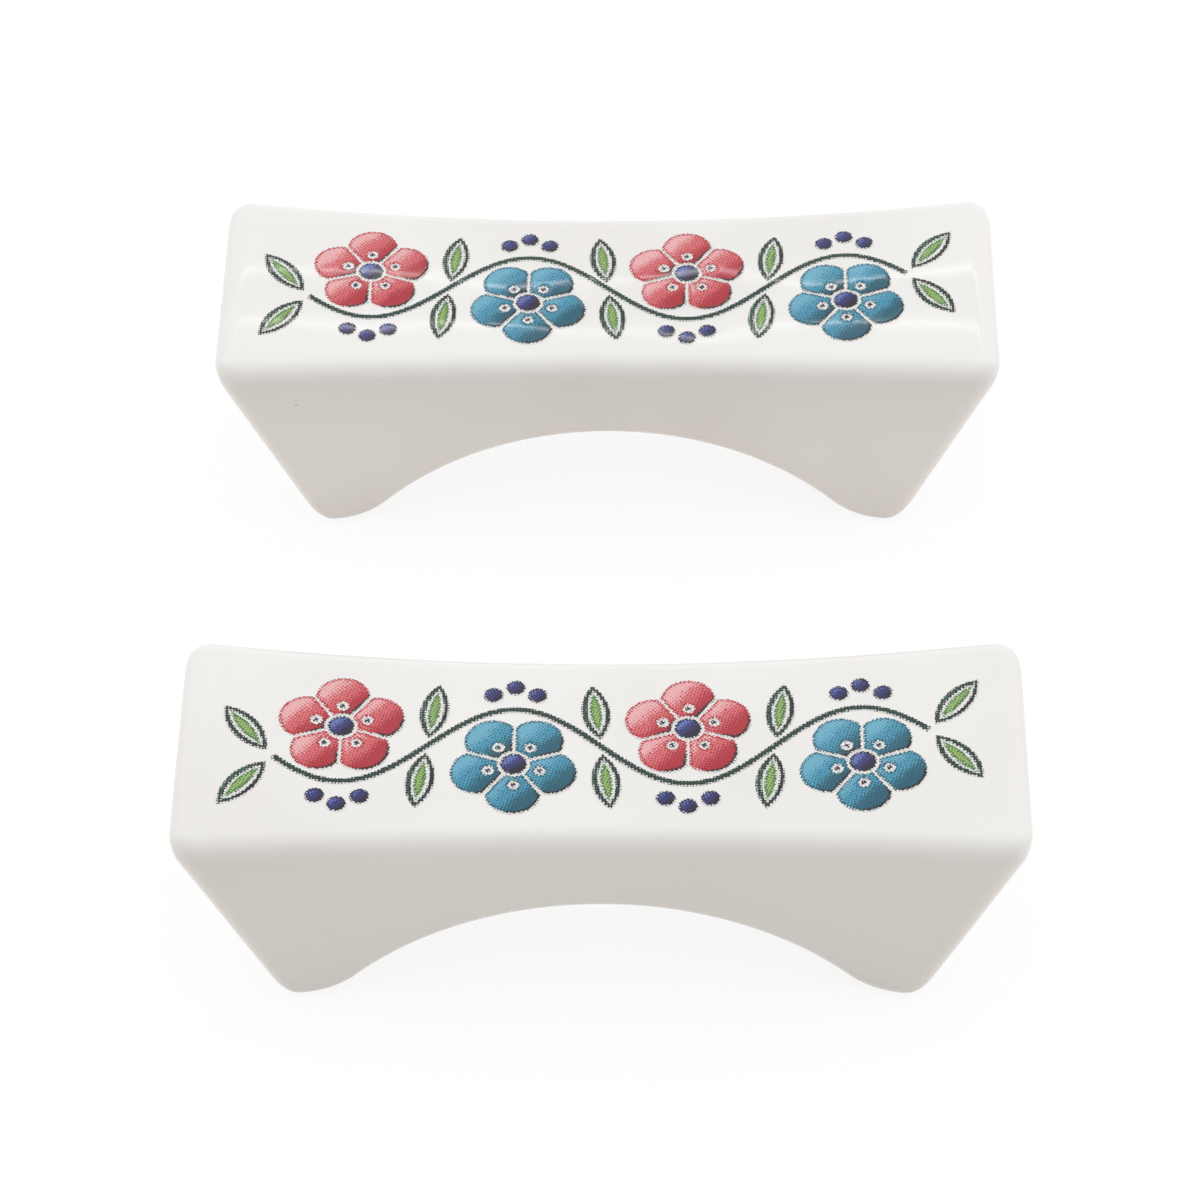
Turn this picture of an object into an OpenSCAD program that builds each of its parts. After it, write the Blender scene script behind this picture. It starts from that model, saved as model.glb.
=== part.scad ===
// A pair of porcelain chopstick rests with a printed vine of blossoms along the top.
// Each rest is a small bridge: a long, gently hollowed top on two feet with an arch between them.
// The rests stand side by side along Y, and the origin is on the table midway between them.

/* [Rest] */
// Length along the top, between the slopes of the two ends before they are rounded
rest_l = 68; // [62:1:80]
// Width of a rest at its two ends
rest_w = 22.8; // [20:0.2:26]
// Height of the two ends of the top above the table
rest_h = 18.4; // [17:0.2:23]
// How far each end leans in from the top down to the foot
end_lean = 8.5; // [7:0.5:9]
// Depth of the hollow along the top
saddle_d = 0.9; // [0.4:0.1:1.6]
// How far each long side is drawn in at the middle
waist_d = 1.8; // [0.5:0.1:2.2]

/* [Arch and feet] */
// Height of the arch above the table
arch_h = 9; // [8:0.5:10]
// Radius of the turn from the arch into a foot
toe_r = 6; // [4:0.5:8]
// Length of a foot's flat sole, from the toe to the heel
foot_l = 0.7; // [0.6:0.1:2]

/* [Rounding] */
// Rounding along the long edges
edge_r = 1.6; // [1:0.1:2.4]
// Rounding from the top and the sides into the ends
end_r = 3; // [2:0.1:3.6]
// Rounding from a foot up into the end
heel_r = 1.7; // [1.6:0.1:2.4]

/* [Pair] */
// Distance between the middles of the two rests
pair_pitch = 52; // [40:1:70]

/* [Print] */
// Thickness of the printed colour
print_t = 0.04; // [0.02:0.01:0.08]
// Bare glaze between one printed colour and the next
register_gap = 0.12; // [0.06:0.02:0.2]
// Bare glaze between the print and the rounded edges
print_margin = 1.1; // [0.4:0.1:1.8]

/* [Blossoms] */
// Radius of the eye of a blossom
eye_r = 1.1; // [0.8:0.05:1.3]
// Radius of a stamen dot
stamen_r = 0.26; // [0.2:0.02:0.32]
// Distance of a stamen dot from the blossom's middle
stamen_ring_r = 2.1; // [1.9:0.05:2.3]

/* [Vine] */
// Width of the stem
stem_w = 0.6; // [0.4:0.05:0.8]
// Bare glaze between the stem and a blossom
stem_gap = 0.8; // [0.6:0.1:1.2]
// Width of a leaf
leaf_w = 2.3; // [2:0.1:3]
// Bare glaze between a leaf and the blossoms beside it
leaf_gap = 0.5; // [0.4:0.1:1.2]
// Bare glaze between the tip of a leaf and the edge of the print
leaf_margin = 0.5; // [0.3:0.1:0.8]
// Distance from each tip of a leaf to its pale heart
heart_inset = 0.8; // [0.6:0.1:1.2]
// Width of the pale heart of a leaf
heart_w = 1; // [0.6:0.1:1.2]
// Radius of a berry
berry_r = 0.8; // [0.6:0.05:0.9]
// Bare glaze between the stem and its berries
berry_gap = 0.4; // [0.2:0.05:0.5]

/* [Hidden] */

porcelain = "#f1efec";
forest = "#1d5a47";
lime = "#a8cc4c";
rose = "#d8586c";
sky = "#3d9fcb";
indigo = "#3c3a86";

// Steps of the surface along the arch, round a toe, round an end and round an edge
arch_steps = 14;
toe_steps = 6;
end_steps = 7;
corner_steps = 5;
// Steps along the printed film and along the stem
film_steps = 48;
stem_steps = 96;

half_l = rest_l / 2;
half_w = rest_w / 2;
foot_half_l = half_l - end_lean;
lean = end_lean / rest_h;

// Outline of a rest

// The top is one arc from end to end, lowest in the middle
saddle_r = (half_l * half_l + saddle_d * saddle_d) / (2 * saddle_d);
function top_z(x) = rest_h - saddle_d + saddle_r - sqrt(saddle_r * saddle_r - x * x);

// Seen from the side, the arch turns back into each foot with the opposite curve.
// Both arcs have the same slope where they meet.
end_reach = end_r * foot_half_l / half_l;
toe_x = foot_half_l - max(end_reach, heel_r + foot_l);
arch_r = (toe_x * toe_x + arch_h * arch_h) / (2 * arch_h) - toe_r;
meet_a = asin(toe_x / (arch_r + toe_r));
function heel_z(d) = d < heel_r ? heel_r - sqrt(heel_r * heel_r - (heel_r - d) * (heel_r - d)) : 0;

// A slice across the rest is [share of the half length, height of its underside, inset].
// The slices fan out from the middle, so that the last one is the leaning end.
function slice(x, z) = [x / (foot_half_l + lean * z), z, 0];
arch_slices = [
    for (i = [0:arch_steps])
        let (a = meet_a * i / arch_steps)
        slice(arch_r * sin(a), arch_h - arch_r * (1 - cos(a)))
];
toe_slices = [
    for (i = [1:toe_steps])
        let (a = meet_a * (1 - i / toe_steps))
        slice(toe_x - toe_r * sin(a), toe_r - toe_r * cos(a))
];
end_slices = [
    for (i = [0:end_steps])
        let (a = 90 * i / end_steps, share = 1 - end_r * (1 - sin(a)) / half_l)
        [share, heel_z(foot_half_l * (1 - share)), end_r * (1 - cos(a))]
];
slices = concat(arch_slices, toe_slices, end_slices);

function half_width(share) = half_w - waist_d * (1 - share * share);

// The points of one slice: a rounded rectangle, drawn in by the slice's inset
function ring(s, side) = [
    for (corner = [0:3], step = [0:corner_steps])
        let (
            a = 90 * (corner + step / corner_steps),
            y_side = (corner == 0 || corner == 3) ? 1 : -1,
            middle_y = y_side * (half_width(s[0]) - s[2] - edge_r),
            middle_z = corner < 2 ? top_z(s[0] * half_l) - s[2] - edge_r : s[1] + edge_r,
            z = middle_z + edge_r * sin(a)
        )
        [side * s[0] * (foot_half_l + lean * z), middle_y + edge_r * cos(a), z]
];

// Porcelain

last = len(slices) - 1;
rings = concat(
    [for (i = [last:-1:1]) ring(slices[i], -1)],
    [for (s = slices) ring(s, 1)]
);
ring_n = len(rings[0]);
ring_count = len(rings);

module rest() {
    skin = [
        for (i = [0:ring_count - 2], j = [0:ring_n - 1])
            let (
                a = i * ring_n + j,
                b = i * ring_n + (j + 1) % ring_n
            )
            each [[a, b, b + ring_n], [a, b + ring_n, a + ring_n]]
    ];
    left_end = [for (j = [ring_n - 1:-1:0]) j];
    right_end = [for (j = [0:ring_n - 1]) (ring_count - 1) * ring_n + j];
    polyhedron([for (r = rings) each r], concat(skin, [left_end, right_end]));
}

// Printed colours

// They lie on the glaze as thin films that follow the hollow of the top
print_seat = 0.01;
print_half_l = half_l - end_r - print_margin;
print_half_w = half_w - waist_d - edge_r - print_margin;

module film() {
    under = [
        for (i = [0:film_steps])
            let (x = print_half_l * (2 * i / film_steps - 1))
            [x, top_z(x) + print_seat]
    ];
    upper = [for (i = [film_steps:-1:0]) under[i] + [0, print_t]];
    rotate([90, 0, 0])
        linear_extrude(rest_w, center = true)
        polygon(concat(under, upper));
}

module printed() {
    intersection() {
        film();
        linear_extrude(2 * rest_h)
            children();
    }
}

// Layout of the vine

petals = 5;
petal_a = 360 / petals;
// They stand in turn on either side of the middle line. Across the print, a blossom fills
// what its swing of the stem and the berries outside that swing leave free.
vine_w = stem_gap + stem_w + berry_gap + 3 * berry_r;
// Distance of a petal's middle from the blossom's middle, as a share of the petal's radius
petal_ring_share = 1.3;
petal_r = (2 * print_half_w - vine_w) / (2 + petal_ring_share * (1 + cos(petal_a / 2)));
petal_ring_r = petal_ring_share * petal_r;
blossom_r = petal_ring_r + petal_r;
blossom_y = print_half_w - blossom_r;

// Leaves stand on end between the blossoms, a little turned and with their tips clear of the stem
leaf_root = stem_w + register_gap;
leaf_turn = 97;
leaf_l = (print_half_w - leaf_margin - leaf_root) / sin(leaf_turn);
heart_l = leaf_l - 2 * heart_inset;
end_leaf_turns = [52, -52];
end_leaf_reach = (leaf_root + leaf_l) * cos(end_leaf_turns[1]);

// As many blossoms stand along the top as it has room for
bay_l = 2 * blossom_r + leaf_w + 2 * leaf_gap;
bays = 1 + floor(2 * (print_half_l - blossom_r - register_gap - end_leaf_reach) / bay_l);
function side_of(i) = 1 - 2 * (i % 2);
function bay_x(i) = (i - (bays - 1) / 2) * bay_l;

// Blossoms

// The first petal points away from the middle line
module at_petals(offset) {
    for (i = [0:petals - 1])
        rotate(90 + petal_a * i)
            translate([offset, 0])
            children();
}

module blossom() {
    difference() {
        at_petals(petal_ring_r) circle(petal_r, $fn = 48);
        circle(eye_r + register_gap, $fn = 36);
        at_petals(stamen_ring_r) circle(stamen_r + register_gap, $fn = 24);
        rotate(petal_a / 2)
            at_petals(blossom_r / 2) square([blossom_r, register_gap], center = true);
    }
}

module blossom_middle() {
    circle(eye_r, $fn = 36);
    at_petals(stamen_ring_r) circle(stamen_r, $fn = 24);
}

module at_blossoms(first, skip) {
    for (i = [first:skip:bays - 1])
        translate([bay_x(i), side_of(i) * blossom_y])
            mirror([0, i % 2])
            children();
}

module rose_print() {
    printed() at_blossoms(0, 2) blossom();
}

module sky_print() {
    printed() at_blossoms(1, 2) blossom();
}

// Vine

// The stem swings away from each blossom in turn
swing = print_half_w - 3 * berry_r - berry_gap - stem_w / 2;
function phase(x) = 180 * (x / bay_l + (bays - 1) / 2);
function stem_y(x) = -swing * cos(phase(x));
function stem_turn(x) = atan(swing * PI / bay_l * sin(phase(x)));
stem_half_l = bay_x(bays - 1) + blossom_r + register_gap;

module stem() {
    middle = [
        for (i = [0:stem_steps])
            let (x = stem_half_l * (2 * i / stem_steps - 1))
            [x, stem_y(x)]
    ];
    side = [for (p = middle) stem_w / 2 * [-sin(stem_turn(p[0])), cos(stem_turn(p[0]))]];
    polygon(concat(
        [for (i = [0:stem_steps]) middle[i] + side[i]],
        [for (i = [stem_steps:-1:0]) middle[i] - side[i]]
    ));
}

// A lens between two equal arcs, from the origin along X
module lens(l, w) {
    r = (l * l + w * w) / (4 * w);
    intersection() {
        translate([l / 2, r - w / 2]) circle(r, $fn = 120);
        translate([l / 2, w / 2 - r]) circle(r, $fn = 120);
    }
}

module heart(grow) {
    translate([(leaf_l - heart_l) / 2 - grow, 0])
        lens(heart_l + 2 * grow, heart_w + 2 * grow);
}

module leaf() {
    difference() {
        lens(leaf_l, leaf_w);
        heart(register_gap);
    }
}

// Two leaves spring from each place where the stem crosses the middle line
module at_crossings() {
    for (i = [0:1:bays - 2], half = [0, 180])
        translate([bay_x(i) + bay_l / 2, 0])
            mirror([0, (i + 1) % 2])
            rotate(leaf_turn + half)
            translate([leaf_root, 0])
            children();
}

// Two more spread from each end of the stem
module at_ends() {
    for (end = [-1, 1], turn = end_leaf_turns)
        translate([end * stem_half_l, stem_y(end * stem_half_l)])
            mirror([end < 0 ? 1 : 0, 0])
            mirror([0, side_of(end < 0 ? 0 : bays - 1) < 0 ? 1 : 0])
            rotate(turn)
            translate([leaf_root, 0])
            children();
}

module green_print() {
    printed() {
        stem();
        at_crossings() leaf();
        at_ends() leaf();
    }
}

module lime_print() {
    printed() {
        at_crossings() heart(0);
        at_ends() heart(0);
    }
}

// Three berries hang outside each swing of the stem, the middle one at the print's edge
berry_y = print_half_w - 3 * berry_r;
module berries() {
    for (i = [0:bays - 1], j = [-1:1])
        translate([
            bay_x(i) + j * (2 * berry_r + register_gap),
            -side_of(i) * (berry_y + (j == 0 ? 2 : 1) * berry_r)
        ])
            circle(berry_r, $fn = 36);
}

module indigo_print() {
    printed() {
        at_blossoms(0, 1) blossom_middle();
        berries();
    }
}

// Places

module at_front() {
    translate([0, -pair_pitch / 2, 0]) children();
}

module at_rear() {
    translate([0, pair_pitch / 2, 0]) children();
}

module front_rest() { color(porcelain) at_front() rest(); }
module front_green_print() { color(forest) at_front() green_print(); }
module front_lime_print() { color(lime) at_front() lime_print(); }
module front_rose_print() { color(rose) at_front() rose_print(); }
module front_sky_print() { color(sky) at_front() sky_print(); }
module front_indigo_print() { color(indigo) at_front() indigo_print(); }
module rear_rest() { color(porcelain) at_rear() rest(); }
module rear_green_print() { color(forest) at_rear() green_print(); }
module rear_lime_print() { color(lime) at_rear() lime_print(); }
module rear_rose_print() { color(rose) at_rear() rose_print(); }
module rear_sky_print() { color(sky) at_rear() sky_print(); }
module rear_indigo_print() { color(indigo) at_rear() indigo_print(); }

front_rest();
front_green_print();
front_lime_print();
front_rose_print();
front_sky_print();
front_indigo_print();
rear_rest();
rear_green_print();
rear_lime_print();
rear_rose_print();
rear_sky_print();
rear_indigo_print();
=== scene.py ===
import math

import bmesh
import bpy
from mathutils import Matrix, Vector, noise


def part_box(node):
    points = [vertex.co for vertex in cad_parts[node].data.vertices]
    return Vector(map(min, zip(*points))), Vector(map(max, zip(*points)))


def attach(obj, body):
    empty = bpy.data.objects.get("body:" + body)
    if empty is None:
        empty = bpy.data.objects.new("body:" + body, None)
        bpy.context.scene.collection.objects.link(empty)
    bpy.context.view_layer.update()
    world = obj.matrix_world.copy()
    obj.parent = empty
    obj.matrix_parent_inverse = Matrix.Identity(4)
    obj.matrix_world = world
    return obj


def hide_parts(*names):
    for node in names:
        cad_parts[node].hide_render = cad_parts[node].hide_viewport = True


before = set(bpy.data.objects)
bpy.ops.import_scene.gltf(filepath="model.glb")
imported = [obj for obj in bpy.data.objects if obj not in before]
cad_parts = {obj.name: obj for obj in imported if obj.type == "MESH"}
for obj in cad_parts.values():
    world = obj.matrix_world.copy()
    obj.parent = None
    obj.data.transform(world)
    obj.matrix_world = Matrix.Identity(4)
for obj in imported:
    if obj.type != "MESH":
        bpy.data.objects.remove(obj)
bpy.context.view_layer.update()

# The two rests
# Each is one slip-cast piece of white porcelain: a small bridge with a hollowed top, leaning
# ends and an arch between two feet. It is dipped in clear glaze, which is wiped off the soles.
mm = 0.001
rest_length = 68 * mm
rest_width = 22.8 * mm
rest_height = 18.4 * mm
end_lean = 8.5 * mm
hollow_depth = 0.9 * mm
waist_depth = 1.8 * mm
arch_height = 9 * mm
toe_radius = 6 * mm
sole_length = 0.7 * mm
long_edge_radius = 1.6 * mm
end_edge_radius = 3 * mm
heel_radius = 1.7 * mm

half_length = rest_length / 2
half_width = rest_width / 2
foot_reach = half_length - end_lean
lean = end_lean / rest_height
hollow_radius = (half_length ** 2 + hollow_depth ** 2) / (2 * hollow_depth)
end_edge_reach = end_edge_radius * foot_reach / half_length
toe_start = foot_reach - max(end_edge_reach, heel_radius + sole_length)
arch_radius = (toe_start ** 2 + arch_height ** 2) / (2 * arch_height) - toe_radius
arch_turn = math.asin(toe_start / (arch_radius + toe_radius))


def middle_of(node):
    low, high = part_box(node)
    return (low.y + high.y) / 2


def top_height(x):
    drop = hollow_radius - math.sqrt(hollow_radius ** 2 - x * x)
    return rest_height - hollow_depth + drop


def unevenness(p):
    """How far the glaze lies below the drawn shape at p, in slow, shallow waves left by the firing."""
    depth = 0.05 * mm
    wave = 9 * mm
    flat_sole = 2 * mm
    swell = 0.5 + 0.5 * noise.noise(p / wave)
    return depth * swell * min(1, max(0, p.z / flat_sole))


def rest_slices():
    """Half of a rest, cut across.

    Each slice is its share of the half length, the height of its underside and its inset.
    """
    arch_cuts = 56
    toe_cuts = 14
    end_cuts = 16
    slices = []
    for i in range(arch_cuts + 1):
        a = arch_turn * i / arch_cuts
        x, z = arch_radius * math.sin(a), arch_height - arch_radius * (1 - math.cos(a))
        slices.append((x / (foot_reach + lean * z), z, 0))
    for i in range(1, toe_cuts + 1):
        a = arch_turn * (1 - i / toe_cuts)
        x, z = toe_start - toe_radius * math.sin(a), toe_radius * (1 - math.cos(a))
        slices.append((x / (foot_reach + lean * z), z, 0))
    for i in range(end_cuts + 1):
        a = math.pi / 2 * i / end_cuts
        share = 1 - end_edge_radius * (1 - math.sin(a)) / half_length
        to_heel = max(0, heel_radius - foot_reach * (1 - share))
        heel = heel_radius - math.sqrt(heel_radius ** 2 - to_heel ** 2)
        slices.append((share, heel, end_edge_radius * (1 - math.cos(a))))
    return slices


def outline_of(share, under, inset):
    """The rounded oblong of one slice, as y and z round it from the back side over the top."""
    corner_cuts = 12
    flat_cuts = 12
    side = half_width - waist_depth * (1 - share * share) - inset
    top = top_height(share * half_length) - inset
    reach = side - long_edge_radius
    centres = [
        (reach, top - long_edge_radius), (-reach, top - long_edge_radius),
        (-reach, under + long_edge_radius), (reach, under + long_edge_radius),
    ]
    points = []
    for corner in range(4):
        y, z = centres[corner]
        for i in range(corner_cuts + 1):
            a = math.pi / 2 * (corner + i / corner_cuts)
            points.append((y + long_edge_radius * math.cos(a), z + long_edge_radius * math.sin(a)))
        here, (y, z) = points[-1], centres[(corner + 1) % 4]
        a = math.pi / 2 * (corner + 1)
        there = (y + long_edge_radius * math.cos(a), z + long_edge_radius * math.sin(a))
        for i in range(1, flat_cuts):
            t = i / flat_cuts
            points.append((here[0] + (there[0] - here[0]) * t, here[1] + (there[1] - here[1]) * t))
    return points


def cast_rest(name, middle_y):
    slices = rest_slices()
    cuts = [(-1, s) for s in reversed(slices[1:])] + [(1, s) for s in slices]
    bm = bmesh.new()
    rings = []
    for side, (share, under, inset) in cuts:
        rings.append([
            bm.verts.new((side * share * (foot_reach + lean * z), middle_y + y, z))
            for y, z in outline_of(share, under, inset)
        ])
    for one, two in zip(rings, rings[1:]):
        for i in range(len(one)):
            j = (i + 1) % len(one)
            bm.faces.new((one[i], one[j], two[j], two[i]))
    bm.faces.new(rings[0])
    bm.faces.new(rings[-1])
    bmesh.ops.recalc_face_normals(bm, faces=bm.faces)
    bm.normal_update()
    sunk = [(v, v.co - v.normal * unevenness(v.co)) for v in bm.verts]
    for v, place in sunk:
        v.co = place
    for face in bm.faces:
        face.smooth = True
    mesh = bpy.data.meshes.new(name)
    bm.to_mesh(mesh)
    bm.free()
    rest = bpy.data.objects.new(name, mesh)
    bpy.context.collection.objects.link(rest)
    return rest


def add_node(tree, kind, inputs=None, **settings):
    """Adds a shader node. Its inputs are values, or the outputs that feed them."""
    made = tree.nodes.new(kind)
    for setting, value in settings.items():
        setattr(made, setting, value)
    for socket, value in (inputs or {}).items():
        if isinstance(value, bpy.types.NodeSocket):
            tree.links.new(value, made.inputs[socket])
        else:
            made.inputs[socket].default_value = value
    return made


def arithmetic(tree, operation, *values, clamp=False):
    return add_node(
        tree, "ShaderNodeMath", dict(enumerate(values)), operation=operation, use_clamp=clamp
    ).outputs[0]


def blended(tree, share, first, second):
    mix = add_node(tree, "ShaderNodeMix", {"Factor": share}, data_type="RGBA")
    for socket, value in zip(mix.inputs[6:8], (first, second)):
        if isinstance(value, bpy.types.NodeSocket):
            tree.links.new(value, socket)
        else:
            socket.default_value = (*value, 1)
    return mix.outputs[2]


def stepped(tree, value, low, high):
    """0 where value is below low, 1 where it is above high, and the way between them."""
    return add_node(
        tree, "ShaderNodeMapRange",
        {"Value": value, "From Min": low, "From Max": high},
        interpolation_type="SMOOTHSTEP",
    ).outputs[0]


def glazed_finish(name):
    """A material with its shader, set for a clear fired glaze."""
    glaze_ior = 1.5
    material = bpy.data.materials.new(name)
    material.use_nodes = True
    tree = material.node_tree
    shader = tree.nodes["Principled BSDF"]
    shader.inputs["IOR"].default_value = glaze_ior
    where = add_node(tree, "ShaderNodeTexCoord").outputs["Object"]
    return material, tree, shader, where


def orange_peel(tree, shader, where):
    """The faint dimpling of a fired glaze."""
    dimples_per_metre = 700
    depth = 0.02 * mm
    strength = 0.04
    dimples = add_node(
        tree, "ShaderNodeTexNoise", {"Vector": where, "Scale": dimples_per_metre, "Detail": 2}
    )
    bump = add_node(
        tree, "ShaderNodeBump",
        {"Height": dimples.outputs["Fac"], "Strength": strength, "Distance": depth},
    )
    tree.links.new(bump.outputs[0], shader.inputs["Normal"])


def porcelain_finish():
    white = (0.865, 0.852, 0.832)
    cream = (0.83, 0.81, 0.785)
    bare_clay = (0.72, 0.69, 0.65)
    iron = (0.16, 0.12, 0.09)
    clouds_per_metre = 45
    specks_per_metre = 230
    speck_strength = 0.6
    frays_per_metre = 900
    glaze_fray = 0.16 * mm
    glaze_line = 0.3 * mm
    bare_roughness = 0.6
    material, tree, shader, where = glazed_finish("white porcelain")
    cloud = add_node(
        tree, "ShaderNodeTexNoise", {"Vector": where, "Scale": clouds_per_metre, "Detail": 3}
    )
    colour = blended(tree, stepped(tree, cloud.outputs["Fac"], 0.42, 0.78), white, cream)
    # A few specks of iron come up through the glaze
    cells = add_node(tree, "ShaderNodeTexVoronoi", {"Vector": where, "Scale": specks_per_metre})
    near = stepped(tree, cells.outputs["Distance"], 0.05, 0.025)
    chosen = add_node(tree, "ShaderNodeSeparateColor", {"Color": cells.outputs["Color"]})
    speck = arithmetic(tree, "MULTIPLY", near, stepped(tree, chosen.outputs[0], 0.975, 0.98))
    colour = blended(tree, arithmetic(tree, "MULTIPLY", speck, speck_strength), colour, iron)
    # The glaze ends just above the sole
    height = add_node(tree, "ShaderNodeSeparateXYZ", {"Vector": where}).outputs["Z"]
    ragged = add_node(
        tree, "ShaderNodeTexNoise", {"Vector": where, "Scale": frays_per_metre, "Detail": 2}
    )
    line = arithmetic(tree, "MULTIPLY_ADD", ragged.outputs["Fac"], glaze_fray, height)
    bare = stepped(tree, line, glaze_line, glaze_fray)
    colour = blended(tree, bare, colour, bare_clay)
    tree.links.new(colour, shader.inputs["Base Color"])
    gloss = arithmetic(tree, "MULTIPLY_ADD", cloud.outputs["Fac"], 0.04, 0.03)
    rough = arithmetic(tree, "MULTIPLY_ADD", bare, bare_roughness, gloss)
    tree.links.new(rough, shader.inputs["Roughness"])
    orange_peel(tree, shader, where)
    return material


porcelain = porcelain_finish()
for node in ("front_rest", "rear_rest"):
    rest = cast_rest("porcelain_" + node, middle_of(node))
    rest.data.materials.append(porcelain)
    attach(rest, node)
    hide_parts(node)

# Rose and sky blue petals
# The pattern is a ceramic transfer, printed one colour after another, floated onto the glaze
# and fired into it. Each blossom has five petals round its eye, two blossoms in each colour.
film_seat = 0.01 * mm
film_thickness = 0.04 * mm
register_gap = 0.12 * mm
print_margin = 1.1 * mm
petals = 5
petal_ring_share = 1.3
eye_radius = 1.1 * mm
stamen_radius = 0.26 * mm
stamen_ring = 2.1 * mm
stem_width = 0.6 * mm
stem_gap = 0.8 * mm
berry_radius = 0.8 * mm
berry_gap = 0.4 * mm
leaf_width = 2.3 * mm
leaf_gap = 0.5 * mm
leaf_margin = 0.5 * mm
leaf_turn = 97
end_leaf_turns = (52, -52)

print_reach = half_length - end_edge_radius - print_margin
print_half_width = half_width - waist_depth - long_edge_radius - print_margin
vine_width = stem_gap + stem_width + berry_gap + 3 * berry_radius
petal_share = 2 + petal_ring_share * (1 + math.cos(math.pi / petals))
petal_radius = (2 * print_half_width - vine_width) / petal_share
petal_ring = petal_ring_share * petal_radius
blossom_radius = petal_ring + petal_radius
blossom_offset = print_half_width - blossom_radius
leaf_root = stem_width + register_gap
leaf_length = (print_half_width - leaf_margin - leaf_root) / math.sin(math.radians(leaf_turn))
end_leaf_reach = (leaf_root + leaf_length) * math.cos(math.radians(end_leaf_turns[1]))
bay_length = 2 * blossom_radius + leaf_width + 2 * leaf_gap
bays = 1 + int(2 * (print_reach - blossom_radius - register_gap - end_leaf_reach) / bay_length)


def side_of(i):
    return 1 - 2 * (i % 2)


def bay_x(i):
    return (i - (bays - 1) / 2) * bay_length


def moved(x, y=0.0):
    return Matrix.Translation((x, y, 0))


def turned(degrees):
    return Matrix.Rotation(math.radians(degrees), 4, "Z")


def flipped(x, y):
    return Matrix.Diagonal((-1 if x else 1, -1 if y else 1, 1, 1))


def blossom_place(i):
    return moved(bay_x(i), side_of(i) * blossom_offset) @ flipped(False, i % 2)


def petal_places(which):
    turns = [90 + 360 / petals * k for k in range(petals)]
    return [blossom_place(i) @ turned(turn) for i in which for turn in turns]


def petal_edge(p):
    """How far p is inside a petal, whose blossom's middle is the origin."""
    slot = abs(math.atan2(p.y, p.x))
    return min(
        petal_radius - (p - Vector((petal_ring, 0, 0))).length,
        p.length * math.sin(max(0, math.pi / petals - slot)) - register_gap / 2,
        p.length - eye_radius - register_gap,
        (p - Vector((stamen_ring, 0, 0))).length - stamen_radius - register_gap,
    )


def petal_rows():
    """Loops from the stamen's gap out to the petal's edge, along rays from the stamen."""
    rays = 96
    loops = 12
    just_outside = 1.001
    halvings = 40
    stamen = Vector((stamen_ring, 0, 0))
    start = stamen_radius + register_gap
    rims = []
    for i in range(rays):
        ray = Vector((math.cos(2 * math.pi * i / rays), math.sin(2 * math.pi * i / rays), 0))
        near, far = start * just_outside, blossom_radius
        for _ in range(halvings):
            reach = (near + far) / 2
            if petal_edge(stamen + ray * reach) > 0:
                near = reach
            else:
                far = reach
        rims.append((ray, near))
    return [
        [stamen + ray * (start + (reach - start) * k / loops) for ray, reach in rims]
        for k in range(loops + 1)
    ]


def print_film(name, motifs, middle_y):
    """One printed colour on one rest.

    A motif is its rows of points, whether they close, how far a point is inside it, the nearest
    point of its middle line, and its places.
    """
    light_side = Vector((-1, 1, 0)).normalized()
    rim_share = 0.5
    rounded_rim = 0.1 * mm
    weld = 0.0005 * mm
    crease = math.radians(50)
    bm = bmesh.new()
    edge_mark = bm.verts.layers.float.new("edge")
    lit_mark = bm.verts.layers.float.new("lit")
    for rows, closed, edge_of, spine_of, places in motifs:
        for place in places:
            made = []
            for row in rows:
                made.append([])
                for p in row:
                    x, y, _ = place @ p
                    glaze = Vector((x, middle_y + y, top_height(x)))
                    inside = max(0, edge_of(p))
                    thickness = film_thickness * min(1, rim_share + inside / rounded_rim)
                    glaze.z += film_seat + thickness - unevenness(glaze)
                    v = bm.verts.new(glaze)
                    v[edge_mark] = inside / mm
                    v[lit_mark] = (place @ p - place @ spine_of(p)).dot(light_side) / mm
                    made[-1].append(v)
            for one, two in zip(made, made[1:]):
                for i in range(len(two) if closed else len(two) - 1):
                    j = (i + 1) % len(two)
                    corners = (one[0],) if len(one) == 1 else (one[j], one[i])
                    bm.faces.new((*corners, two[i], two[j]))
    bmesh.ops.remove_doubles(bm, verts=bm.verts, dist=weld)
    bmesh.ops.dissolve_degenerate(bm, edges=bm.edges, dist=weld)
    upper = list(bm.faces)
    rim = [e for e in bm.edges if e.is_boundary]
    lower = {}
    for v in list(bm.verts):
        x, y, _ = v.co
        z = top_height(x) + film_seat - unevenness(Vector((x, y, top_height(x))))
        low = bm.verts.new((x, y, z))
        low[edge_mark] = v[edge_mark]
        low[lit_mark] = v[lit_mark]
        lower[v] = low
    for face in upper:
        bm.faces.new([lower[v] for v in reversed(face.verts)])
    for e in rim:
        one, two = e.verts
        bm.faces.new((one, two, lower[two], lower[one]))
    bmesh.ops.recalc_face_normals(bm, faces=bm.faces)
    for face in bm.faces:
        face.smooth = True
    mesh = bpy.data.meshes.new(name)
    bm.to_mesh(mesh)
    bm.free()
    mesh.set_sharp_from_angle(angle=crease)
    film = bpy.data.objects.new(name, mesh)
    bpy.context.collection.objects.link(film)
    return film


screen_pitch = 0.25 * mm


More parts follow.
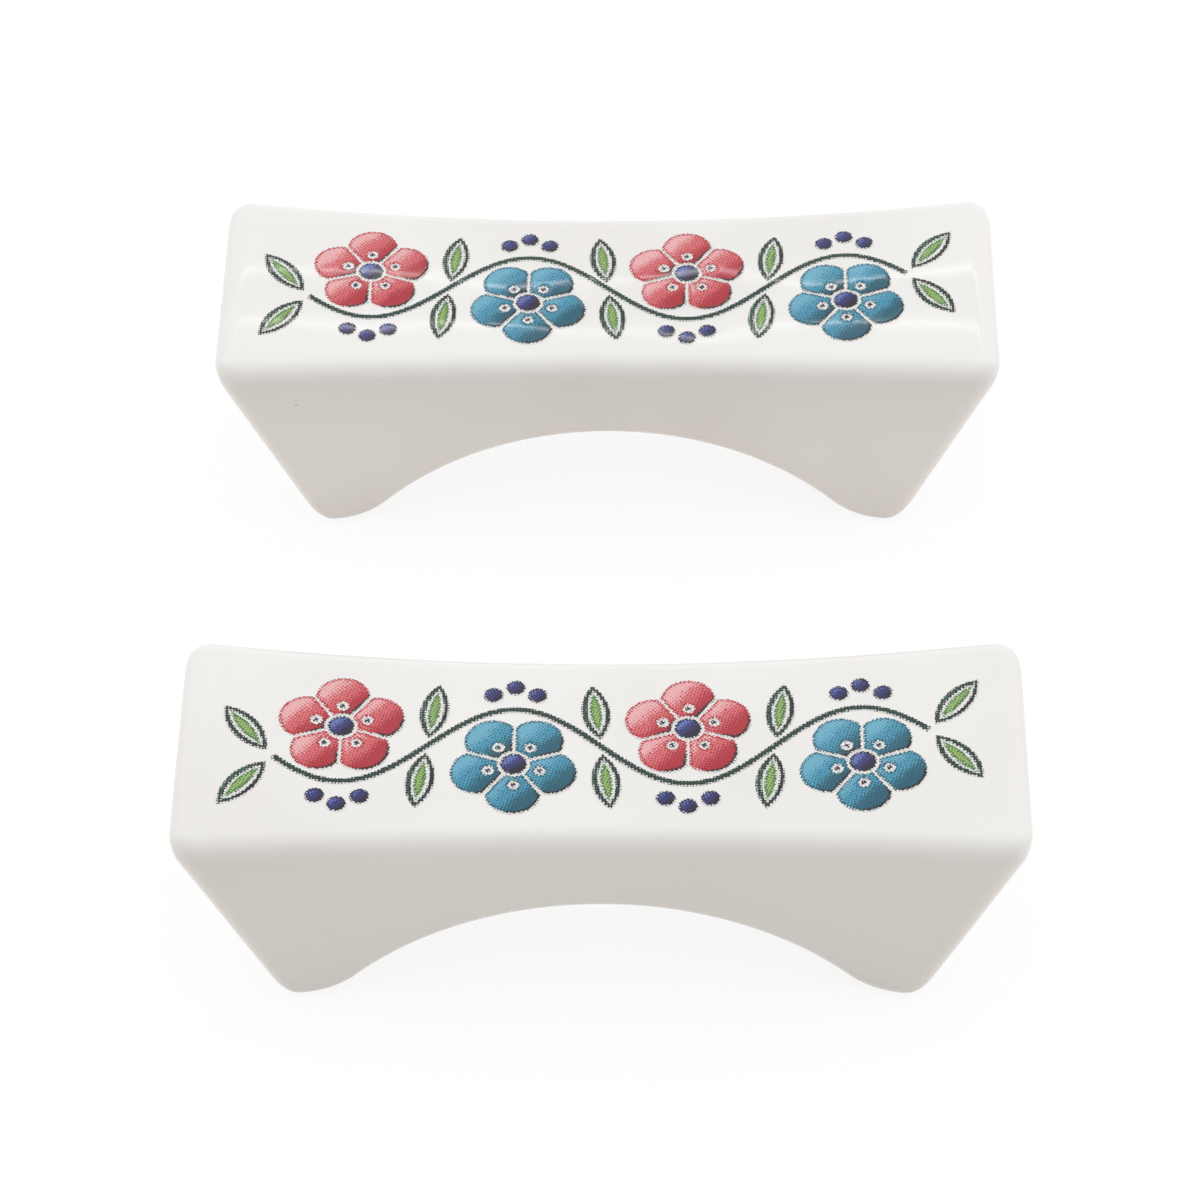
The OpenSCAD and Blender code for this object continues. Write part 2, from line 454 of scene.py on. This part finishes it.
def screened(tree, where, amount, degrees, field, dots):
    """Halftone: dots on a turned square screen, growing with amount from none to all of the field.

    The dots' radius and blur are shares of the screen's pitch.
    """
    full_dot = 0.74
    dot_blur = 0.06
    flat = add_node(tree, "ShaderNodeMapping", {
        "Vector": where, "Rotation": (0, 0, math.radians(degrees)),
        "Scale": (1 / screen_pitch, 1 / screen_pitch, 0),
    })
    cell = add_node(tree, "ShaderNodeVectorMath", {0: flat.outputs[0]}, operation="FRACTION")
    middle = add_node(
        tree, "ShaderNodeVectorMath", {0: cell.outputs[0], 1: (0.5, 0.5, 0)}, operation="SUBTRACT"
    )
    away = add_node(tree, "ShaderNodeVectorMath", {0: middle.outputs[0]}, operation="LENGTH")
    dot = arithmetic(tree, "MULTIPLY", arithmetic(tree, "SQRT", amount, clamp=True), full_dot)
    over = arithmetic(tree, "SUBTRACT", dot, away.outputs["Value"])
    return blended(tree, stepped(tree, over, -dot_blur, dot_blur), field, dots)


def ink_finish(name, ink, shade, tint, reach, screen):
    """Fired ink, screened like a bead lit from the back left: pale there, dark on the far side and rim.

    Reach is how far from a motif's middle line the light and the shade fall, in millimetres.
    """
    black = (0.012, 0.008, 0.012)
    bare_glaze = (0.8, 0.78, 0.75)
    clouds_per_metre = 650
    strays_per_metre = 3000
    pinholes_per_metre = 900
    pinhole_strength = 0.8
    # Widths of the dark rim and the frayed edge, in millimetres
    rim_width = 0.45
    rim_line = 0.05
    fray_width = 0.2
    # How far the shade drifts, as a share of its reach
    drift_share = 0.6
    # How much of the darker, paler and bare dots is laid down
    most_dim = 0.9
    most_rim = 0.65
    least_dark = 0.14
    most_pale = 0.6
    fray_share = 0.3
    material, tree, shader, where = glazed_finish(name)
    edge = add_node(tree, "ShaderNodeAttribute", attribute_name="edge").outputs["Fac"]
    lit = add_node(tree, "ShaderNodeAttribute", attribute_name="lit").outputs["Fac"]
    cloud = add_node(
        tree, "ShaderNodeTexNoise", {"Vector": where, "Scale": clouds_per_metre, "Detail": 3}
    )
    drift = arithmetic(
        tree, "MULTIPLY_ADD", cloud.outputs["Fac"], drift_share * reach, -drift_share / 2 * reach
    )
    lit = arithmetic(tree, "ADD", lit, drift)
    # The dots stray a little from their rows
    stray = add_node(
        tree, "ShaderNodeTexNoise", {"Vector": where, "Scale": strays_per_metre, "Detail": 1}
    )
    dots_at = add_node(
        tree, "ShaderNodeVectorMath",
        {0: stray.outputs["Color"], 1: (screen_pitch, screen_pitch, 0), 2: where},
        operation="MULTIPLY_ADD",
    ).outputs[0]
    rim = stepped(tree, edge, rim_width, rim_line)
    dim = arithmetic(tree, "MULTIPLY", stepped(tree, lit, 0.3 * reach, -reach), most_dim)
    darker = arithmetic(tree, "MAXIMUM", dim, arithmetic(tree, "MULTIPLY", rim, most_rim))
    darker = arithmetic(tree, "MAXIMUM", darker, least_dark)
    colour = screened(tree, dots_at, darker, screen, ink, shade)
    inner = arithmetic(tree, "MULTIPLY_ADD", rim, -most_pale, most_pale)
    paler = arithmetic(tree, "MULTIPLY", stepped(tree, lit, 0.1 * reach, 0.9 * reach), inner)
    colour = screened(tree, dots_at, paler, screen + 30, colour, tint)
    deep = arithmetic(tree, "MULTIPLY", stepped(tree, lit, -0.4 * reach, -reach), rim)
    colour = screened(tree, dots_at, deep, screen + 60, colour, black)
    shadow = stepped(tree, lit, 0.4 * reach, -reach)
    frayed = arithmetic(tree, "MULTIPLY", stepped(tree, edge, fray_width, 0), arithmetic(
        tree, "MULTIPLY_ADD", shadow, fray_share, fray_share
    ))
    colour = screened(tree, dots_at, frayed, screen + 15, colour, bare_glaze)
    # Dust on the screen leaves pinholes
    cells = add_node(tree, "ShaderNodeTexVoronoi", {"Vector": where, "Scale": pinholes_per_metre})
    near = stepped(tree, cells.outputs["Distance"], 0.1, 0.04)
    chosen = add_node(tree, "ShaderNodeSeparateColor", {"Color": cells.outputs["Color"]})
    pinhole = arithmetic(tree, "MULTIPLY", near, stepped(tree, chosen.outputs[0], 0.965, 0.97))
    pinhole = arithmetic(tree, "MULTIPLY", pinhole, pinhole_strength)
    colour = blended(tree, pinhole, colour, bare_glaze)
    tree.links.new(colour, shader.inputs["Base Color"])
    gloss = arithmetic(tree, "MULTIPLY_ADD", cloud.outputs["Fac"], 0.02, 0.02)
    tree.links.new(gloss, shader.inputs["Roughness"])
    orange_peel(tree, shader, where)
    return material


def print_colour(colour, motifs, material):
    """The same colour on both rests."""
    for rest in ("front", "rear"):
        node = rest + "_" + colour + "_print"
        film = print_film(colour + "_ink_" + rest, motifs, middle_of(rest + "_rest"))
        film.data.materials.append(material)
        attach(film, rest + "_rest")
        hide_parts(node)


def petal_middle(p):
    return Vector((petal_ring, 0, 0))


rose_ink = ink_finish(
    "rose ink", ink=(0.68, 0.145, 0.16), shade=(0.42, 0.015, 0.03), tint=(0.82, 0.44, 0.45),
    reach=1.7, screen=15,
)
sky_ink = ink_finish(
    "sky blue ink", ink=(0.06, 0.31, 0.47), shade=(0.008, 0.1, 0.15), tint=(0.15, 0.42, 0.56),
    reach=1.7, screen=15,
)
petal = petal_rows()
rose_places = petal_places(range(0, bays, 2))
sky_places = petal_places(range(1, bays, 2))
print_colour("rose", [(petal, True, petal_edge, petal_middle, rose_places)], rose_ink)
print_colour("sky", [(petal, True, petal_edge, petal_middle, sky_places)], sky_ink)

# Indigo eyes, stamens and berries
# The same dark ink prints the eye of every blossom, a stamen dot on each petal, and three
# berries outside each swing of the stem.
berry_line = print_half_width - 3 * berry_radius


def dot_motif(radius, places):
    """A round dot, as loops about its middle."""
    rays = 40
    shares = [0.25, 0.5, 0.7, 0.85, 0.94, 1]
    rows = [[Vector((0, 0, 0))]]
    for share in shares:
        turns = [2 * math.pi * i / rays for i in range(rays)]
        rows.append([Vector((math.cos(t), math.sin(t), 0)) * radius * share for t in turns])
    return rows, True, lambda p: radius - p.length, lambda p: Vector((0, 0, 0)), places


berry_places = []
for i in range(bays):
    for j in (-1, 0, 1):
        out = berry_line + (2 if j == 0 else 1) * berry_radius
        berry_places.append(moved(bay_x(i) + j * (2 * berry_radius + register_gap), -side_of(i) * out))

indigo_ink = ink_finish(
    "indigo ink", ink=(0.03, 0.035, 0.19), shade=(0.01, 0.005, 0.03), tint=(0.12, 0.17, 0.45),
    reach=0.8, screen=45,
)
print_colour("indigo", [
    dot_motif(eye_radius, [blossom_place(i) for i in range(bays)]),
    dot_motif(stamen_radius, [p @ moved(stamen_ring) for p in petal_places(range(bays))]),
    dot_motif(berry_radius, berry_places),
], indigo_ink)

# Green stem and leaves
# The stem winds from side to side between the blossoms. Two leaves spring from each place where
# it crosses the middle line and two from each of its ends, each with an opening for its heart.
heart_inset = 0.8 * mm
heart_length = leaf_length - 2 * heart_inset
heart_width = 1 * mm
swing = berry_line - berry_gap - stem_width / 2
stem_reach = bay_x(bays - 1) + blossom_radius + register_gap


def stem_phase(x):
    return math.pi * (x / bay_length + (bays - 1) / 2)


def stem_rows():
    """Lines along the stem, from its front edge to its back edge."""
    lengths = 260
    shares = [-1, -0.8, -0.45, 0, 0.45, 0.8, 1]
    rows = []
    for share in shares:
        rows.append([])
        for i in range(lengths + 1):
            x = stem_reach * (2 * i / lengths - 1)
            slope = math.atan(swing * math.pi / bay_length * math.sin(stem_phase(x)))
            aside = share * stem_width / 2
            y = -swing * math.cos(stem_phase(x))
            rows[-1].append(Vector((x - aside * math.sin(slope), y + aside * math.cos(slope), 0)))
    return rows


def stem_edge(p):
    slope = math.atan(swing * math.pi / bay_length * math.sin(stem_phase(p.x)))
    off = abs(p.y + swing * math.cos(stem_phase(p.x))) * math.cos(slope)
    return min(stem_width / 2 - off, stem_reach - abs(p.x))


def stem_line(p):
    return Vector((p.x, -swing * math.cos(stem_phase(p.x)), 0))


def lens_edge(length, width, p):
    """How far p is inside a lens of two equal arcs, which lies about its middle along X."""
    radius = (length ** 2 + width ** 2) / (4 * width)
    return radius - math.hypot(p.x, abs(p.y) + radius - width / 2)


def lens_loop(length, width, share=1.0):
    """A loop round a lens, from its tip, or round a smaller one of the same shape."""
    cuts = 32
    radius = (length ** 2 + width ** 2) / (4 * width)
    half_turn = math.asin(length / 2 / radius)
    loop = []
    for side in (1, -1):
        for i in range(cuts):
            a = half_turn * (1 - 2 * i / cuts) * side
            y = side * (radius * math.cos(a) - radius + width / 2)
            loop.append(Vector((radius * math.sin(a), y, 0)) * share)
    return loop


leaf_middle = Vector((leaf_length / 2, 0, 0))
opening_length = heart_length + 2 * register_gap
opening_width = heart_width + 2 * register_gap


def leaf_rows():
    cuts = 8
    outer = lens_loop(leaf_length, leaf_width)
    inner = lens_loop(opening_length, opening_width)
    return [
        [leaf_middle + a.lerp(b, k / cuts) for a, b in zip(inner, outer)] for k in range(cuts + 1)
    ]


def leaf_edge(p):
    p = p - leaf_middle
    return min(
        lens_edge(leaf_length, leaf_width, p), -lens_edge(opening_length, opening_width, p)
    )


def leaf_rib(p):
    return Vector((p.x, 0, 0))


leaf_places = []
for i in range(bays - 1):
    crossing = moved(bay_x(i) + bay_length / 2) @ flipped(False, (i + 1) % 2)
    leaf_places += [crossing @ turned(leaf_turn + half) @ moved(leaf_root) for half in (0, 180)]
for end in (-1, 1):
    bay_side = side_of(0 if end < 0 else bays - 1)
    stem_end = moved(end * stem_reach, -swing * math.cos(stem_phase(end * stem_reach)))
    stem_end = stem_end @ flipped(end < 0, bay_side < 0)
    leaf_places += [stem_end @ turned(turn) @ moved(leaf_root) for turn in end_leaf_turns]

green_ink = ink_finish(
    "green ink", ink=(0.02, 0.075, 0.055), shade=(0.004, 0.02, 0.015), tint=(0.05, 0.17, 0.12),
    reach=1.1, screen=75,
)
print_colour("green", [
    (stem_rows(), False, stem_edge, stem_line, [moved(0)]),
    (leaf_rows(), True, leaf_edge, leaf_rib, leaf_places),
], green_ink)

# Lime hearts of the leaves
# A pale heart shows in the opening of every leaf, printed on its own pass.
def heart_rows():
    shares = [0.25, 0.5, 0.7, 0.85, 0.94, 1]
    loops = [[leaf_middle]]
    for share in shares:
        loops.append([leaf_middle + p for p in lens_loop(heart_length, heart_width, share)])
    return loops


def heart_edge(p):
    return lens_edge(heart_length, heart_width, p - leaf_middle)


lime_ink = ink_finish(
    "lime ink", ink=(0.31, 0.47, 0.13), shade=(0.05, 0.17, 0.05), tint=(0.45, 0.57, 0.25),
    reach=0.6, screen=22,
)
print_colour("lime", [(heart_rows(), True, heart_edge, leaf_rib, leaf_places)], lime_ink)

# Table, backdrop and lights
# A plain white studio table, which the light leaves all but shadowless. Lit cards behind the
# rests are mirrored in the glaze of their tops.
def studio_table():
    table_size = 3.0
    warm_white = (0.9, 0.83, 0.77, 1)
    seen_white = (0.15, 0.15, 0.15, 1)
    glow = 0.865
    mesh = bpy.data.meshes.new("table")
    half = table_size / 2
    corners = [(-half, -half, 0), (half, -half, 0), (half, half, 0), (-half, half, 0)]
    mesh.from_pydata(corners, [], [(0, 1, 2, 3)])
    table = bpy.data.objects.new("table", mesh)
    bpy.context.collection.objects.link(table)
    material = bpy.data.materials.new("white table")
    material.use_nodes = True
    tree = material.node_tree
    tree.nodes.clear()
    paint = add_node(tree, "ShaderNodeBsdfDiffuse", {"Color": warm_white})
    light = add_node(tree, "ShaderNodeEmission", {"Strength": glow})
    faint = add_node(tree, "ShaderNodeBsdfDiffuse", {"Color": seen_white})
    lit = add_node(tree, "ShaderNodeAddShader", {0: faint.outputs[0], 1: light.outputs[0]})
    path = add_node(tree, "ShaderNodeLightPath").outputs
    seen = arithmetic(tree, "MAXIMUM", path["Is Camera Ray"], path["Is Glossy Ray"])
    seen = arithmetic(tree, "MAXIMUM", seen, path["Is Transmission Ray"])
    shown = add_node(tree, "ShaderNodeMixShader", {0: seen, 1: paint.outputs[0], 2: lit.outputs[0]})
    # From underneath the table is clear, so that the soles can be looked at
    behind = add_node(tree, "ShaderNodeNewGeometry").outputs["Backfacing"]
    clear = add_node(tree, "ShaderNodeBsdfTransparent")
    last = add_node(tree, "ShaderNodeMixShader", {0: behind, 1: shown.outputs[0], 2: clear.outputs[0]})
    add_node(tree, "ShaderNodeOutputMaterial", {"Surface": last.outputs[0]})
    mesh.materials.append(material)


def white_room():
    """The light from all round, more of it from above and behind, with a plain white backdrop."""
    even_light = 0.39
    from_above = 0.68
    from_behind = 0.31
    from_right = 0.03
    world = bpy.data.worlds.new("white room")
    bpy.context.scene.world = world
    world.use_nodes = True
    tree = world.node_tree
    tree.nodes.clear()
    way = add_node(tree, "ShaderNodeTexCoord").outputs["Generated"]
    more = add_node(
        tree, "ShaderNodeVectorMath", {0: way, 1: (from_right, from_behind, from_above)},
        operation="DOT_PRODUCT",
    ).outputs["Value"]
    strength = arithmetic(tree, "MAXIMUM", arithmetic(tree, "ADD", more, even_light), 0)
    fill = add_node(tree, "ShaderNodeBackground", {"Strength": strength})
    backdrop = add_node(tree, "ShaderNodeBackground", {"Strength": 1.0})
    for background in (fill, backdrop):
        background.inputs["Color"].default_value = (1, 1, 1, 1)
    path = add_node(tree, "ShaderNodeLightPath").outputs
    seen = arithmetic(tree, "MAXIMUM", path["Is Camera Ray"], path["Is Glossy Ray"])
    seen = arithmetic(tree, "MAXIMUM", seen, path["Is Transmission Ray"])
    shown = add_node(
        tree, "ShaderNodeMixShader", {0: seen, 1: fill.outputs[0], 2: backdrop.outputs[0]}
    )
    add_node(tree, "ShaderNodeOutputWorld", {"Surface": shown.outputs[0]})


def studio_lamp(name, place, target, size, power):
    light = bpy.data.lights.new(name, "AREA")
    light.shape = "RECTANGLE"
    light.size, light.size_y = size
    light.energy = power
    lamp = bpy.data.objects.new(name, light)
    bpy.context.collection.objects.link(lamp)
    lamp.location = place
    lamp.rotation_euler = (Vector(target) - Vector(place)).to_track_quat("-Z", "Y").to_euler()
    return lamp


def reflected_card(name, low, high, glow):
    """An upright lit card just behind the rests, which shows only where the glaze mirrors it."""
    behind = 110 * mm
    width = 360 * mm
    middle = (low + high) / 2
    power = glow * math.pi * width * (high - low)
    lamp = studio_lamp(name, (0, behind, middle), (0, 0, middle), (width, high - low), power)
    lamp.visible_camera = False
    lamp.visible_diffuse = False


studio_table()
white_room()
studio_lamp("overhead softbox", (0, -0.1, 1.0), (0, 0, 0), (1.3, 1.3), 1.6)
# The side softboxes stand low, and are left out of what the glaze mirrors, so their glare stays off it
for side, power in (("left", 0.8), ("right", 0.95)):
    away = 0.7 if side == "right" else -0.7
    softbox = studio_lamp(side + " softbox", (away, 0.12, 0.14), (0, 0, 0.01), (0.5, 0.5), power)
    softbox.visible_glossy = False
card_glow = 0.15
edge_glow = 7
reflected_card("lower card", 40 * mm, 93.7 * mm, card_glow)
reflected_card("lower card edge", 93.7 * mm, 94.1 * mm, edge_glow)
reflected_card("upper card edge", 101.5 * mm, 101.9 * mm, edge_glow)
reflected_card("upper card", 101.9 * mm, 174.7 * mm, card_glow)

# Camera
# It looks down on the rests at 47 degrees, nearly square on, from about 39 cm.
picture_side = 1200
focal_pixels = 4633
sensor_width = 36
camera_distance = 392.7 * mm
camera_elevation = math.radians(46.6)
camera_azimuth = math.radians(1.39)
camera_roll = math.radians(-1.04)
aim = Vector((-0.68 * mm, middle_of("front_rest") + 32.14 * mm, 0))

forward = Vector((
    -math.sin(camera_azimuth) * math.cos(camera_elevation),
    math.cos(camera_azimuth) * math.cos(camera_elevation),
    -math.sin(camera_elevation),
))
level = forward.cross(Vector((0, 0, 1))).normalized()
upright = level.cross(forward)
right = level * math.cos(camera_roll) + upright * math.sin(camera_roll)
above = upright * math.cos(camera_roll) - level * math.sin(camera_roll)
camera = bpy.data.objects.new("camera", bpy.data.cameras.new("camera"))
bpy.context.collection.objects.link(camera)
camera.data.sensor_width = sensor_width
camera.data.lens = focal_pixels / picture_side * sensor_width
camera.data.clip_start = 0.01
camera.matrix_world = Matrix.Translation(aim - forward * camera_distance) @ Matrix((
    (right.x, above.x, -forward.x, 0),
    (right.y, above.y, -forward.y, 0),
    (right.z, above.z, -forward.z, 0),
    (0, 0, 0, 1),
))
bpy.context.scene.camera = camera
bpy.context.scene.view_settings.view_transform = "Standard"
